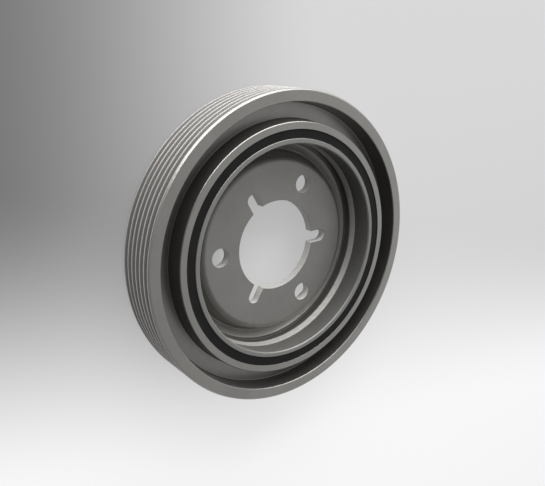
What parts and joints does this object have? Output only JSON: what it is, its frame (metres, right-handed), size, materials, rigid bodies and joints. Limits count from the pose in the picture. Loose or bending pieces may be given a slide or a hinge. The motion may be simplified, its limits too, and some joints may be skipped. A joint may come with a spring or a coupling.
{
  "type": "harmonic balancer",
  "caption": "Crankshaft pulley damper: grooved cast ring with a front channel, bonded by a rubber ring to a pressed steel cup hub with a bored and slotted mounting web.",
  "frame": {"origin": "on the axis, in the plane of the hub's rearmost face, on which the part lies", "axes": "+Z along the axis towards the front face, +X through the middle of a locating slot"},
  "size_m": [0.149, 0.149, 0.0245],
  "materials": {
    "hub_steel": "satin",
    "damper_rubber": "matte",
    "ring_iron": "satin"
  },
  "bodies": {
    "root": {"hub": "hub_steel", "rubber_ring": "damper_rubber", "pulley_ring": "ring_iron"}
  },
  "joints": []
}
